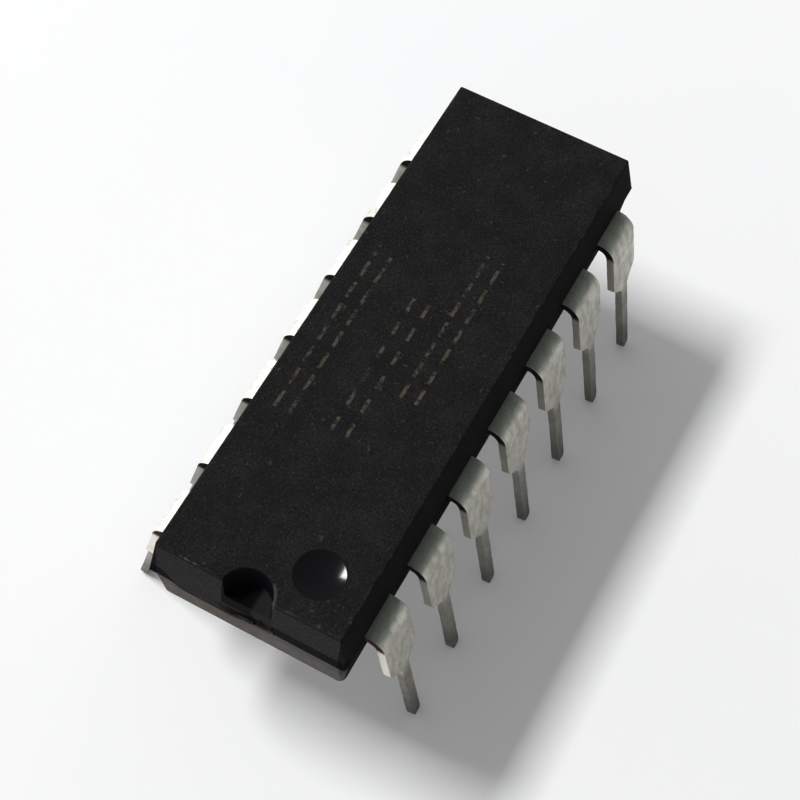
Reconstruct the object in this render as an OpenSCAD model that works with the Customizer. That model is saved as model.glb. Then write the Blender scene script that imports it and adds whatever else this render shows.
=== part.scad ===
// Fourteen-lead dual in-line chip package, standing on its lead tips.
// Millimetres. +X runs along the row of leads away from the notch, +Z is up,
// and the lead tips rest on z = 0, the two rows of tips equally far from the origin.

/* [Moulded body] */
// Length of the moulded body at the parting line
body_length = 19.05; // [18.6:0.05:19.7]
// Width of the moulded body at the parting line
body_width = 6.50; // [6.2:0.05:6.8]
// Height of the upper half of the body above the middle of the lead frame
top_height = 1.62; // [1.5:0.01:1.8]
// Depth of the lower half of the body below the middle of the lead frame
bottom_height = 1.65; // [1.3:0.01:1.7]
// Mould draft of the walls of the upper half, in degrees
draft = 8.4; // [5:0.1:10]
// Mould draft of the walls of the lower half, in degrees
lower_draft = 6.5; // [4:0.1:10]

/* [Orientation marks] */
// Radius of the half-round end notch at the top face
notch_radius = 0.80; // [0.6:0.01:1.1]
// Depth of the end notch below the top face
notch_depth = 0.88; // [0.5:0.01:0.95]
// Slope of the notch wall, in degrees
notch_draft = 4.5; // [1:0.5:10]
// Distance the notch centre sits outside the top end edge
notch_set_back = 0.10; // [0:0.01:0.3]
// Radius of the round pin-1 dimple at the top face
dimple_radius = 0.80; // [0.5:0.01:0.9]
// Depth of the pin-1 dimple
dimple_depth = 0.12; // [0.08:0.01:0.3]
// Distance of the dimple centre from the notched end at the parting line
dimple_from_end = 1.655; // [1.5:0.005:2.2]
// Distance of the dimple centre from the long centreline
dimple_from_axis = 1.53; // [1.2:0.01:1.7]

/* [Mould marks] */
// Width of the broken-out gate scar on the notched end
gate_width = 1.80; // [1.2:0.05:2.4]
// Height of the gate scar across the parting line
gate_height = 0.42; // [0.3:0.01:0.6]
// Depth of the gate scar into the end face
gate_depth = 0.06; // [0.03:0.01:0.12]
// Radius of the two ejector marks on the underside
ejector_radius = 0.75; // [0.5:0.05:1]
// Depth of the ejector marks
ejector_depth = 0.05; // [0.03:0.01:0.1]
// Distance of each ejector mark from the middle of the body
ejector_offset = 7.00; // [5.5:0.1:7.5]

/* [Leads] */
// Spacing of the leads along each row
pitch = 2.54; // [2.5:0.01:2.58]
// Thickness of the lead frame
lead_thickness = 0.25; // [0.2:0.01:0.3]
// Width of the shoulder of each lead
shoulder_width = 1.52; // [1.2:0.01:1.7]
// Width of the lower, narrow part of each lead
leg_width = 0.40; // [0.36:0.01:0.6]
// Width across the cut tip of each lead
tip_width = 0.22; // [0.15:0.01:0.3]
// Height over which each lead narrows to its tip
tip_taper = 0.28; // [0.1:0.01:0.5]
// Height of the middle of the lead frame above the lead tips
lead_drop = 6.00; // [5.2:0.01:6.4]
// Distance from the middle of the lead frame down to the end of the wide shoulder
shoulder_drop = 1.95; // [1.6:0.01:2.2]
// Height of the slope from shoulder width to leg width
shoulder_slope = 0.75; // [0.4:0.01:1]
// Outward splay of the legs of leads 1 to 7, in degrees
near_splay = 9.0; // [0:0.5:12]
// Outward splay of the legs of leads 8 to 14, in degrees
far_splay = 14.9; // [0:0.1:18]
// Inside radius of the bend in each lead
bend_radius = 0.37; // [0.2:0.01:0.5]
// Straight run of each lead between the body and its bend
bend_run = 0.03; // [0.02:0.01:0.3]

/* [Inside the body] */
// How far the wide shoulder carries on into the body
shoulder_inset = 0.35; // [0.2:0.01:0.45]
// Width of the lead finger behind the shoulder
finger_root_width = 0.75; // [0.6:0.01:0.9]
// Width of the lead finger near the chip
finger_width = 0.40; // [0.3:0.01:0.45]
// Clearance between neighbouring fingers, the tie bar and the die pad
finger_gap = 0.32; // [0.25:0.01:0.36]
// Radius of the hole that locks each finger in the moulding
lock_radius = 0.16; // [0.1:0.01:0.2]
// Length of the pad that carries the silicon chip
pad_length = 3.40; // [3:0.05:3.8]
// Width of the pad that carries the silicon chip
pad_width = 2.60; // [2.2:0.05:2.7]
// Width of the tie bars that run from the pad to both ends
tie_width = 0.50; // [0.4:0.01:0.6]
// Length of the silicon chip
die_length = 1.90; // [1.5:0.05:2.4]
// Width of the silicon chip
die_width = 1.50; // [1.2:0.05:1.8]
// Thickness of the silicon chip
die_thickness = 0.28; // [0.2:0.01:0.35]
// Thickness of the bonding layer under the silicon chip
attach_thickness = 0.03; // [0.02:0.005:0.05]
// How far the bonding layer spreads past the silicon chip
attach_margin = 0.08; // [0.03:0.01:0.15]
// Width of the bond wires
wire_width = 0.04; // [0.03:0.005:0.06]
// Rise of the bond wires above the silicon chip
wire_loop = 0.26; // [0.15:0.01:0.3]
// Diameter of the ball at the chip end of each bond wire
ball_diameter = 0.12; // [0.08:0.01:0.14]

/* [Hidden] */
$fn = 64;

pins = 14;
row = pins / 2;
// margin by which a cutting shape passes the surface it cuts
over = 0.5;

half_length = body_length / 2;
half_width = body_width / 2;
top_inset = top_height * tan(draft);
bottom_inset = bottom_height * tan(lower_draft);
top_z = lead_drop + top_height;
bottom_z = lead_drop - bottom_height;
frame_top = lead_drop + lead_thickness / 2;
frame_bottom = lead_drop - lead_thickness / 2;

notch_x = -half_length + top_inset - notch_set_back;
notch_floor_radius = notch_radius - notch_depth * tan(notch_draft);
dimple_ball = (dimple_radius * dimple_radius + dimple_depth * dimple_depth) / (2 * dimple_depth);

bend_outer = bend_radius + lead_thickness;
bend_y = half_width + bend_run;
bend_z = frame_top - bend_outer;
bend_steps = 12;
// the leads spread unevenly, so the body stands off the middle of the two rows of tips
middle_y = (leg_end(bend_outer, far_splay)[0] - leg_end(bend_outer, near_splay)[0]) / 2;

// lanes in which the outer fingers run towards the chip
lane_3 = tie_width / 2 + finger_gap + finger_width / 2;
lane_2 = lane_3 + finger_width + finger_gap;
tip_x = pad_length / 2 + finger_gap;
tip_y = pad_width / 2 + finger_gap;
elbow = 0.55;

attach_z = frame_top + attach_thickness;
die_z = attach_z + die_thickness;
ball_height = 0.03;
pad_inset = 0.15;
stitch_length = 0.14;
wire_steps = 10;

// place of a pin in its row, -3 at the notched end to +3
function place(pin) = pin <= row ? pin - (row + 1) / 2 : pins + 1 - pin - (row + 1) / 2;
// -1 for the row on the -Y side, +1 for the row on the +Y side
function side(pin) = pin <= row ? -1 : 1;
function splay(pin) = side(pin) < 0 ? near_splay : far_splay;

// centreline of a finger seen from above, for the +Y row and a place of 0 or more
function finger_line(step) =
  step == 3 ? [[3 * pitch, half_width - shoulder_inset], [3 * pitch, lane_3 + elbow],
               [3 * pitch - elbow, lane_3], [tip_x, lane_3]] :
  step == 2 ? [[2 * pitch, half_width - shoulder_inset], [2 * pitch, lane_2 + elbow],
               [2 * pitch - elbow, lane_2], [tip_x, lane_2]] :
  step == 1 ? [[pitch, half_width - shoulder_inset], [pitch, half_width - shoulder_inset - 0.3],
               [pad_length / 3, tip_y + finger_width / 2]] :
              [[0, half_width - shoulder_inset], [0, tip_y + finger_width / 2]];

function arc_points(radius, from, to) =
  [for (i = [0 : bend_steps])
    let (a = from + (to - from) * i / bend_steps)
    [bend_y + radius * sin(a), bend_z + radius * cos(a)]];

// where the face of a leg that leaves the bend at this radius meets the floor
function leg_end(radius, angle) =
  [bend_y + radius * cos(angle) + (bend_z + radius * sin(angle)) * tan(angle), 0];

// straight strip with round ends between two points of a plan
module strip(from, to, width) {
  run = to - from;
  translate(from)
    rotate(atan2(run[1], run[0]))
      translate([0, -width / 2])
        square([norm(run), width]);
  translate(to)
    circle(d = width);
}

// side view of the bent lead: shoulder, bend and splayed leg
module lead_section(angle) {
  start = half_width - shoulder_inset;
  outline = concat(
    [[start, frame_top]],
    arc_points(bend_outer, 0, 90 - angle),
    [leg_end(bend_outer, angle), leg_end(bend_radius, angle)],
    arc_points(bend_radius, 90 - angle, 0),
    [[start, frame_bottom]]
  );
  rotate([90, 0, 90])
    translate([0, 0, -shoulder_width / 2])
      linear_extrude(shoulder_width)
        polygon(outline);
}

// end view of the lead: wide shoulder, slope, narrow leg and cut tip
module lead_front(angle) {
  reach = leg_end(bend_outer, angle)[0] + over;
  wide = shoulder_width / 2;
  slim = leg_width / 2;
  slope_top = lead_drop - shoulder_drop;
  slope_bottom = slope_top - shoulder_slope;
  right = [[wide, lead_drop + over], [wide, slope_top], [slim, slope_bottom],
           [slim, tip_taper], [tip_width / 2, 0]];
  left = [for (i = [len(right) - 1 : -1 : 0]) [-right[i][0], right[i][1]]];
  rotate([90, 0, 0])
    translate([0, 0, -reach])
      linear_extrude(reach)
        polygon(concat(right, left));
}

// flat finger sealed in the body, with its lock hole
module finger(step) {
  line = finger_line(step);
  last = len(line) - 1;
  translate([0, 0, frame_bottom])
    linear_extrude(lead_thickness)
      difference() {
        union() {
          translate([-finger_root_width / 2 + line[0][0], line[0][1] - finger_width])
            square([finger_root_width, finger_width + shoulder_inset / 2]);
          for (i = [0 : last - 1])
            strip(line[i], line[i + 1], finger_width);
        }
        translate([line[0][0], line[0][1] - finger_width / 4])
          circle(r = lock_radius);
      }
}

module lead(pin) {
  step = place(pin);
  mirror([0, side(pin) < 0 ? 1 : 0, 0])
    mirror([step < 0 ? 1 : 0, 0, 0]) {
      translate([abs(step) * pitch, 0, 0])
        intersection() {
          lead_section(splay(pin));
          lead_front(splay(pin));
        }
      finger(abs(step));
    }
}

module die_pad_shape() {
  translate([-pad_length / 2, -pad_width / 2, frame_bottom])
    cube([pad_length, pad_width, lead_thickness]);
  translate([-half_length, -tie_width / 2, frame_bottom])
    cube([body_length, tie_width, lead_thickness]);
}

module die_attach_shape() {
  length = die_length + 2 * attach_margin;
  width = die_width + 2 * attach_margin;
  translate([-length / 2, -width / 2, frame_top])
    cube([length, width, attach_thickness]);
}

module die_shape() {
  translate([-die_length / 2, -die_width / 2, attach_z])
    cube([die_length, die_width, die_thickness]);
}

// where a bond wire leaves the silicon chip
function wire_start(step) =
  [step / 3 * (die_length / 2 - pad_inset), die_width / 2 - pad_inset];

// where a bond wire lands on its finger
function wire_end(step) =
  step >= 2 ? finger_line(step)[3] + [finger_width / 4, 0] :
  step == 1 ? finger_line(1)[2] : finger_line(0)[1];

// height profile of a bond wire that spans the given distance
function wire_point(t, span) =
  [span * (1 - cos(90 * t)), (frame_top - die_z - wire_width / 2) * t * t + wire_loop * sin(180 * t)];

function wire_edge(span, offset) =
  [for (i = [0 : wire_steps])
    let (t = i / wire_steps, d = 0.01,
         p = wire_point(t, span),
         q = wire_point(t + d, span) - wire_point(t - d, span),
         n = [-q[1], q[0]] / norm(q))
    i == 0 ? [p[0] - offset, 0] : p + n * offset];

module bond_wire(pin) {
  step = place(pin);
  from = wire_start(abs(step));
  to = wire_end(abs(step));
  run = to - from;
  span = norm(run);
  upper = wire_edge(span, wire_width / 2);
  lower = wire_edge(span, -wire_width / 2);
  back = [for (i = [wire_steps : -1 : 0]) lower[i]];
  mirror([0, side(pin) < 0 ? 1 : 0, 0])
    mirror([step < 0 ? 1 : 0, 0, 0])
      translate([from[0], from[1], die_z]) {
        cylinder(d = ball_diameter, h = ball_height, $fn = 12);
        rotate([0, 0, atan2(run[1], run[0])]) {
          rotate([90, 0, 0])
            translate([0, 0, -wire_width / 2])
              linear_extrude(wire_width)
                intersection() {
                  polygon(concat(upper, back));
                  translate([-over, frame_top - die_z])
                    square([span + 2 * over, 2 * over + die_z - frame_top]);
                }
          translate([span - stitch_length / 2, -wire_width, frame_top - die_z])
            cube([stitch_length, 2 * wire_width, wire_width / 2]);
        }
      }
}

// outline of the drafted body seen from one side
module body_profile(half) {
  polygon([
    [-half, lead_drop],
    [-half + bottom_inset, bottom_z],
    [half - bottom_inset, bottom_z],
    [half, lead_drop],
    [half - top_inset, top_z],
    [-half + top_inset, top_z]
  ]);
}

module body_block() {
  intersection() {
    rotate([90, 0, 0])
      translate([0, 0, -half_width - over])
        linear_extrude(body_width + 2 * over)
          body_profile(half_length);
    rotate([90, 0, 90])
      translate([0, 0, -half_length - over])
        linear_extrude(body_length + 2 * over)
          body_profile(half_width);
  }
}

module body_marks() {
  translate([notch_x, 0, top_z - notch_depth])
    cylinder(r1 = notch_floor_radius,
             r2 = notch_radius + over * tan(notch_draft),
             h = notch_depth + over);
  translate([-half_length + dimple_from_end, -dimple_from_axis, top_z - dimple_depth + dimple_ball])
    sphere(r = dimple_ball);
  translate([-half_length - over, -gate_width / 2, lead_drop - gate_height / 2])
    cube([over + gate_depth, gate_width, gate_height]);
  for (end = [-1, 1])
    translate([end * ejector_offset, 0, bottom_z - over])
      cylinder(r = ejector_radius, h = ejector_depth + over);
}

module moulded_shape() {
  difference() {
    body_block();
    body_marks();
    for (pin = [1 : pins]) {
      lead(pin);
      bond_wire(pin);
    }
    die_pad_shape();
    die_attach_shape();
    die_shape();
  }
}

// sets a piece down with the two rows of tips equally far from the origin
module stand() {
  translate([0, -middle_y, 0])
    children();
}

module body() { color([0.13, 0.12, 0.12]) stand() moulded_shape(); }

module lead_01() { color([0.78, 0.77, 0.74]) stand() lead(1); }
module lead_02() { color([0.78, 0.77, 0.74]) stand() lead(2); }
module lead_03() { color([0.78, 0.77, 0.74]) stand() lead(3); }
module lead_04() { color([0.78, 0.77, 0.74]) stand() lead(4); }
module lead_05() { color([0.78, 0.77, 0.74]) stand() lead(5); }
module lead_06() { color([0.78, 0.77, 0.74]) stand() lead(6); }
module lead_07() { color([0.78, 0.77, 0.74]) stand() lead(7); }
module lead_08() { color([0.78, 0.77, 0.74]) stand() lead(8); }
module lead_09() { color([0.78, 0.77, 0.74]) stand() lead(9); }
module lead_10() { color([0.78, 0.77, 0.74]) stand() lead(10); }
module lead_11() { color([0.78, 0.77, 0.74]) stand() lead(11); }
module lead_12() { color([0.78, 0.77, 0.74]) stand() lead(12); }
module lead_13() { color([0.78, 0.77, 0.74]) stand() lead(13); }
module lead_14() { color([0.78, 0.77, 0.74]) stand() lead(14); }

module die_pad() { color([0.72, 0.45, 0.28]) stand() die_pad_shape(); }
module die_attach() { color([0.7, 0.7, 0.68]) stand() die_attach_shape(); }
module die() { color([0.35, 0.36, 0.42]) stand() die_shape(); }

module bond_wire_01() { color([0.9, 0.72, 0.3]) stand() bond_wire(1); }
module bond_wire_02() { color([0.9, 0.72, 0.3]) stand() bond_wire(2); }
module bond_wire_03() { color([0.9, 0.72, 0.3]) stand() bond_wire(3); }
module bond_wire_04() { color([0.9, 0.72, 0.3]) stand() bond_wire(4); }
module bond_wire_05() { color([0.9, 0.72, 0.3]) stand() bond_wire(5); }
module bond_wire_06() { color([0.9, 0.72, 0.3]) stand() bond_wire(6); }
module bond_wire_07() { color([0.9, 0.72, 0.3]) stand() bond_wire(7); }
module bond_wire_08() { color([0.9, 0.72, 0.3]) stand() bond_wire(8); }
module bond_wire_09() { color([0.9, 0.72, 0.3]) stand() bond_wire(9); }
module bond_wire_10() { color([0.9, 0.72, 0.3]) stand() bond_wire(10); }
module bond_wire_11() { color([0.9, 0.72, 0.3]) stand() bond_wire(11); }
module bond_wire_12() { color([0.9, 0.72, 0.3]) stand() bond_wire(12); }
module bond_wire_13() { color([0.9, 0.72, 0.3]) stand() bond_wire(13); }
module bond_wire_14() { color([0.9, 0.72, 0.3]) stand() bond_wire(14); }

body();
lead_01();
lead_02();
lead_03();
lead_04();
lead_05();
lead_06();
lead_07();
lead_08();
lead_09();
lead_10();
lead_11();
lead_12();
lead_13();
lead_14();
die_pad();
die_attach();
die();
bond_wire_01();
bond_wire_02();
bond_wire_03();
bond_wire_04();
bond_wire_05();
bond_wire_06();
bond_wire_07();
bond_wire_08();
bond_wire_09();
bond_wire_10();
bond_wire_11();
bond_wire_12();
bond_wire_13();
bond_wire_14();
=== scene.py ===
import math
import random

import bmesh
import bpy
from mathutils import Matrix, Vector, noise


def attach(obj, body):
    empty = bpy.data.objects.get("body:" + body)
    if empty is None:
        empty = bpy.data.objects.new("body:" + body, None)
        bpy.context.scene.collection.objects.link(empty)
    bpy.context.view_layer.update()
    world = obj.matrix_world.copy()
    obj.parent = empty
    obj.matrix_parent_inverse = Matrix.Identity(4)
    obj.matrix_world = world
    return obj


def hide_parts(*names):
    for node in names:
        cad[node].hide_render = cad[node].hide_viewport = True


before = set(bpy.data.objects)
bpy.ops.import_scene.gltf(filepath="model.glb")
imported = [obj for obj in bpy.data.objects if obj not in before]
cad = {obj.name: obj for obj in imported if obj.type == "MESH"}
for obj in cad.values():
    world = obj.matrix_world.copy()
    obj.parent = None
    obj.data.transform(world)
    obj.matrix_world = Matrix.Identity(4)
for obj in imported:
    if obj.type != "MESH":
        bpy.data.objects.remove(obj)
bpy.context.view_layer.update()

# Shapes are drawn in millimetres and brought to metres when each piece is finished.
MM = 0.001

# moulded body
BODY_LENGTH = 19.05
BODY_WIDTH = 6.50
HALF_LENGTH = BODY_LENGTH / 2
HALF_WIDTH = BODY_WIDTH / 2
TOP_HEIGHT = 1.62
BOTTOM_HEIGHT = 1.65
DRAFT = math.tan(math.radians(8.4))
LOWER_DRAFT = math.tan(math.radians(6.5))
PARTING_Z = 6.0
TOP_Z = PARTING_Z + TOP_HEIGHT
BOTTOM_Z = PARTING_Z - BOTTOM_HEIGHT
MOULD_STEP = 0.04
CORNER_ROUND = 0.06
LOWER_CORNER_ROUND = 0.22
RIM_ROUND = 0.06

# orientation marks, ejector marks and gate
NOTCH_X = -HALF_LENGTH + TOP_HEIGHT * DRAFT - 0.10
NOTCH_RADIUS = 0.80
NOTCH_DEPTH = 0.88
NOTCH_SLOPE = math.tan(math.radians(4.5))
NOTCH_FILLET = 0.08
NOTCH_LIP = 0.035
NOTCH_FLOOR_Z = TOP_Z - NOTCH_DEPTH
DIMPLE_AT = (-HALF_LENGTH + 1.655, -1.53)
DIMPLE_RADIUS = 0.80
DIMPLE_DEPTH = 0.12
EJECTOR_X = 7.0
EJECTOR_RADIUS = 0.75
EJECTOR_DEPTH = 0.05
EJECTOR_CHAMFER = 0.015
GATE_SIZE = (0.12, 1.80, 0.48)
GATE_LUMPS = ((5.0, 0.035), (14.0, 0.018))

# place, size and seed of each small chip knocked off an edge
CHIPS = [((-HALF_LENGTH + 0.05, -HALF_WIDTH + 0.06, PARTING_Z - 0.06), (0.16, 0.14, 0.10), 1),
         ((-HALF_LENGTH + 0.23, 1.95, TOP_Z + 0.015), (0.05, 0.34, 0.045), 2),
         ((HALF_LENGTH - 0.02, 1.3, PARTING_Z - 0.03), (0.07, 0.22, 0.06), 3),
         ((2.1, HALF_WIDTH - 0.22, TOP_Z + 0.02), (0.30, 0.05, 0.045), 4)]

# leads
PINS = 14
ROW = 7
PITCH = 2.54
THICKNESS = 0.25
SHOULDER_WIDTH = 1.52
LEG_WIDTH = 0.40
TIP_WIDTH = 0.12
TIP_LENGTH = 0.28
SHOULDER_END = PARTING_Z - 1.95
LEG_START = SHOULDER_END - 0.75
NEAR_SPLAY = math.radians(9.0)
FAR_SPLAY = math.radians(14.9)
SPLAY_SPREAD = math.radians(0.35)
FRAME_TOP = PARTING_Z + THICKNESS / 2
SHOULDER_START = HALF_WIDTH - 0.35
BEND_Y = HALF_WIDTH + 0.03
BEND_RADIUS = 0.37 + THICKNESS
COLUMNS = 10
LEAD_EDGE = 0.040
FINE_STEP = 0.05
PLAIN_STEP = 0.11

# fingers of the leads, inside the body
ROOT_WIDTH = 0.75
ROOT_END = 2.50
FINGER_WIDTH = 0.40
FINGER_START = 2.48
FINGER_LANES = {3: 0.77, 2: 1.49}
FINGER_TURN = 0.55
FINGER_END = 1.82
LOCK_RADIUS = 0.16
LOCK_Y = 2.70

ALONG_X = Vector((1, 0, 0))


def foot(splay):
    """How far from the middle of the body the outer face of a leg meets the floor."""
    return (BEND_Y + BEND_RADIUS * math.cos(splay)
            + (FRAME_TOP - BEND_RADIUS + BEND_RADIUS * math.sin(splay)) * math.tan(splay))


# The pieces are drawn around the middle of the body, then moved so that both rows of tips stand equally far out.
MIDDLE_Y = (foot(FAR_SPLAY) - foot(NEAR_SPLAY)) / 2


# ---- mesh helpers


def verts_of(geom):
    return [g for g in geom if isinstance(g, bmesh.types.BMVert)]


def edges_of(geom):
    return [g for g in geom if isinstance(g, bmesh.types.BMEdge)]


def to_object(bm, name, scale=MM):
    """Closes a bmesh into an object at the origin, in metres unless another scale is given."""
    bmesh.ops.scale(bm, vec=(scale, scale, scale), verts=bm.verts[:])
    mesh = bpy.data.meshes.new(name)
    bm.to_mesh(mesh)
    bm.free()
    piece = bpy.data.objects.new(name, mesh)
    bpy.context.scene.collection.objects.link(piece)
    return piece


def turned(profile, centre):
    """Closed round solid from a profile of (radius, height) points that starts and ends on the axis."""
    bm = bmesh.new()
    points = [bm.verts.new((r, 0, z)) for r, z in profile]
    for a, b in zip(points, points[1:]):
        bm.edges.new((a, b))
    bmesh.ops.spin(bm, geom=bm.verts[:] + bm.edges[:], cent=(0, 0, 0), axis=(0, 0, 1), dvec=(0, 0, 0),
                   angle=math.tau, steps=64, use_merge=True, use_normal_flip=False, use_duplicate=False)
    bmesh.ops.remove_doubles(bm, verts=bm.verts[:], dist=1e-5)
    bmesh.ops.recalc_face_normals(bm, faces=bm.faces[:])
    bmesh.ops.translate(bm, vec=(centre[0], centre[1], 0), verts=bm.verts[:])
    return bm


def round_edges(bm, edges, size, segments):
    bmesh.ops.bevel(bm, geom=edges, offset=size, offset_type="OFFSET", segments=segments, profile=0.5,
                    affect="EDGES", material=-1, clamp_overlap=True)


def carve(piece, cutter):
    """Cuts one closed mesh out of another, and removes the cutter."""
    cut = piece.modifiers.new("carve", "BOOLEAN")
    cut.operation = "DIFFERENCE"
    cut.solver = "MANIFOLD"
    cut.object = cutter
    settled = bpy.data.meshes.new_from_object(piece.evaluated_get(bpy.context.evaluated_depsgraph_get()))
    piece.modifiers.remove(cut)
    old = piece.data
    piece.data = settled
    settled.name = piece.name
    bpy.data.meshes.remove(old)
    bpy.data.objects.remove(cutter)


def soften(piece, angle):
    """Smooth shading that keeps the flat faces flat beside their rounded edges."""
    piece.data.shade_smooth()
    piece.data.set_sharp_from_angle(angle=math.radians(angle))
    even = piece.modifiers.new("even_shading", "WEIGHTED_NORMAL")
    even.keep_sharp = True


# ---- moulded body


def body_block():
    """Both halves of the body, with their draft, the step between them and their rounded edges."""
    close = 1e-4
    step_z = PARTING_Z - MOULD_STEP / 2
    bm = bmesh.new()
    bmesh.ops.create_cube(bm, size=1.0)
    bmesh.ops.scale(bm, vec=(BODY_LENGTH, BODY_WIDTH, TOP_HEIGHT + BOTTOM_HEIGHT), verts=bm.verts[:])
    bmesh.ops.translate(bm, vec=(0, 0, (TOP_Z + BOTTOM_Z) / 2), verts=bm.verts[:])
    for height in (PARTING_Z, step_z):
        bmesh.ops.bisect_plane(bm, geom=bm.verts[:] + bm.edges[:] + bm.faces[:], dist=1e-5,
                               plane_co=(0, 0, height), plane_no=(0, 0, 1))
    for v in bm.verts:
        if v.co.z < PARTING_Z - close:
            inset = max((PARTING_Z - v.co.z) * LOWER_DRAFT, MOULD_STEP)
        else:
            inset = (v.co.z - PARTING_Z) * DRAFT
        v.co.x -= math.copysign(inset, v.co.x)
        v.co.y -= math.copysign(inset, v.co.y)
    for low, high, size in ((BOTTOM_Z, step_z, LOWER_CORNER_ROUND), (PARTING_Z, TOP_Z, CORNER_ROUND)):
        corners = [e for e in bm.edges if abs(min(v.co.z for v in e.verts) - low) < close
                   and abs(max(v.co.z for v in e.verts) - high) < close]
        round_edges(bm, corners, size, 5)
    rims = [e for e in bm.edges
            if all(abs(v.co.z - TOP_Z) < close or abs(v.co.z - BOTTOM_Z) < close for v in e.verts)]
    round_edges(bm, rims, RIM_ROUND, 3)
    bmesh.ops.recalc_face_normals(bm, faces=bm.faces[:])
    return bm


def notch_cutter():
    """Half-round notch with a filleted floor and a rounded lip that runs out over the top face."""
    base = NOTCH_RADIUS - NOTCH_DEPTH * NOTCH_SLOPE
    profile = [(0, NOTCH_FLOOR_Z), (base - NOTCH_FILLET, NOTCH_FLOOR_Z),
               (base - NOTCH_FILLET * 0.3, NOTCH_FLOOR_Z + NOTCH_FILLET * 0.3),
               (base, NOTCH_FLOOR_Z + NOTCH_FILLET)]
    lip_steps = 4
    for i in range(lip_steps + 1):
        turn = math.pi / 2 * i / lip_steps
        profile.append((NOTCH_RADIUS + NOTCH_LIP * (1 - math.cos(turn)),
                        TOP_Z - NOTCH_LIP * (1 - math.sin(turn))))
    profile += [(NOTCH_RADIUS + NOTCH_LIP, TOP_Z + 0.5), (0, TOP_Z + 0.5)]
    return turned(profile, (NOTCH_X, 0))


def dimple_cutter():
    """Shallow bowl, part of a large ball."""
    ball = (DIMPLE_RADIUS ** 2 + DIMPLE_DEPTH ** 2) / (2 * DIMPLE_DEPTH)
    edge = math.asin(DIMPLE_RADIUS / ball)
    rings = 12
    profile = [(ball * math.sin(edge * i / rings),
                TOP_Z - DIMPLE_DEPTH + ball * (1 - math.cos(edge * i / rings))) for i in range(rings + 1)]
    profile += [(DIMPLE_RADIUS + 0.02, TOP_Z + 0.3), (0, TOP_Z + 0.3)]
    return turned(profile, DIMPLE_AT)


def ejector_cutter(x):
    """Flat round mark left by an ejector pin."""
    floor = BOTTOM_Z + EJECTOR_DEPTH
    profile = [(0, BOTTOM_Z - 0.3), (EJECTOR_RADIUS, BOTTOM_Z - 0.3), (EJECTOR_RADIUS, floor - EJECTOR_CHAMFER),
               (EJECTOR_RADIUS - EJECTOR_CHAMFER, floor), (0, floor)]
    return turned(profile, (x, 0))


def gate_cutter():
    """Rough break where the runner was snapped off the end of the body."""
    bm = bmesh.new()
    bmesh.ops.create_cube(bm, size=1.0)
    bmesh.ops.scale(bm, vec=GATE_SIZE, verts=bm.verts[:])
    bmesh.ops.subdivide_edges(bm, edges=bm.edges[:], cuts=9, use_grid_fill=True)
    bmesh.ops.translate(bm, vec=(-HALF_LENGTH, 0, PARTING_Z), verts=bm.verts[:])
    for v in bm.verts:
        v.co += sum((noise.noise_vector(v.co * scale) * reach for scale, reach in GATE_LUMPS), Vector())
    bmesh.ops.recalc_face_normals(bm, faces=bm.faces[:])
    return bm


def chip_cutter(at, size, seed):
    """Small irregular chip knocked off an edge."""
    bm = bmesh.new()
    bmesh.ops.create_icosphere(bm, subdivisions=2, radius=1.0)
    bmesh.ops.scale(bm, vec=size, verts=bm.verts[:])
    for v in bm.verts:
        v.co += noise.noise_vector(v.co * 6.0 + Vector((seed, 0, 0))) * 0.25 * min(size)
    bmesh.ops.translate(bm, vec=at, verts=bm.verts[:])
    return bm


def moulded_body(sealed):
    """The body, with its marks, and with room inside for everything that it seals in."""
    body = to_object(body_block(), "moulded_body", 1.0)
    marks = [notch_cutter(), dimple_cutter(), ejector_cutter(-EJECTOR_X), ejector_cutter(EJECTOR_X),
             gate_cutter()]
    for cutter in marks + [chip_cutter(*chip) for chip in CHIPS]:
        carve(body, to_object(cutter, "cutter", 1.0))
    body.data.transform(Matrix.Translation((0, -MIDDLE_Y, 0)))
    for inner in sealed:
        bm = bmesh.new()
        bm.from_mesh(inner.data)
        bmesh.ops.remove_doubles(bm, verts=bm.verts[:], dist=1e-7)
        carve(body, to_object(bm, "cutter", 1 / MM))
    body.data.transform(Matrix.Scale(MM, 4))
    soften(body, 38)
    return body


# ---- leads


def next_row(bm, row, middle, across, width):
    """Draws the strip on to its next row, laid through middle along across."""
    made = bmesh.ops.extrude_edge_only(bm, edges=row["edges"])["geom"]
    for v in verts_of(made):
        part = (v.co - row["middle"]).dot(row["across"]) / row["width"]
        v.co = middle + across * part * width
    return {"edges": edges_of(made), "middle": middle, "across": across, "width": width}


def place(pin):
    """Place of a pin in its row, -3 at the notched end to 3."""
    return (pin if pin <= ROW else PINS + 1 - pin) - (ROW + 1) // 2


def finger_line(step):
    """Centreline of the flat finger that runs from a shoulder to the chip."""
    if step >= 2:
        lane = FINGER_LANES[step]
        return [(step * PITCH, lane + FINGER_TURN), (step * PITCH - FINGER_TURN, lane), (FINGER_END, lane)]
    if step == 1:
        return [(PITCH, 2.60), (1.133, 1.82)]
    return [(0.0, 1.62)]


def draw_finger(bm, row, step):
    x = step * PITCH
    for y, width in ((SHOULDER_START - 0.02, ROOT_WIDTH), (ROOT_END, ROOT_WIDTH), (FINGER_START, FINGER_WIDTH)):
        row = next_row(bm, row, Vector((x, y, FRAME_TOP)), ALONG_X, width)
    line = [Vector((px, py, FRAME_TOP)) for px, py in [(x, FINGER_START)] + finger_line(step)]
    for i in range(1, len(line)):
        came = (line[i] - line[i - 1]).normalized()
        goes = (line[i + 1] - line[i]).normalized() if i + 1 < len(line) else came
        run = (came + goes).normalized()
        across = Vector((-run.y, run.x, 0))
        row = next_row(bm, row, line[i], across, FINGER_WIDTH / max(0.5, came.dot(run)))


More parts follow.
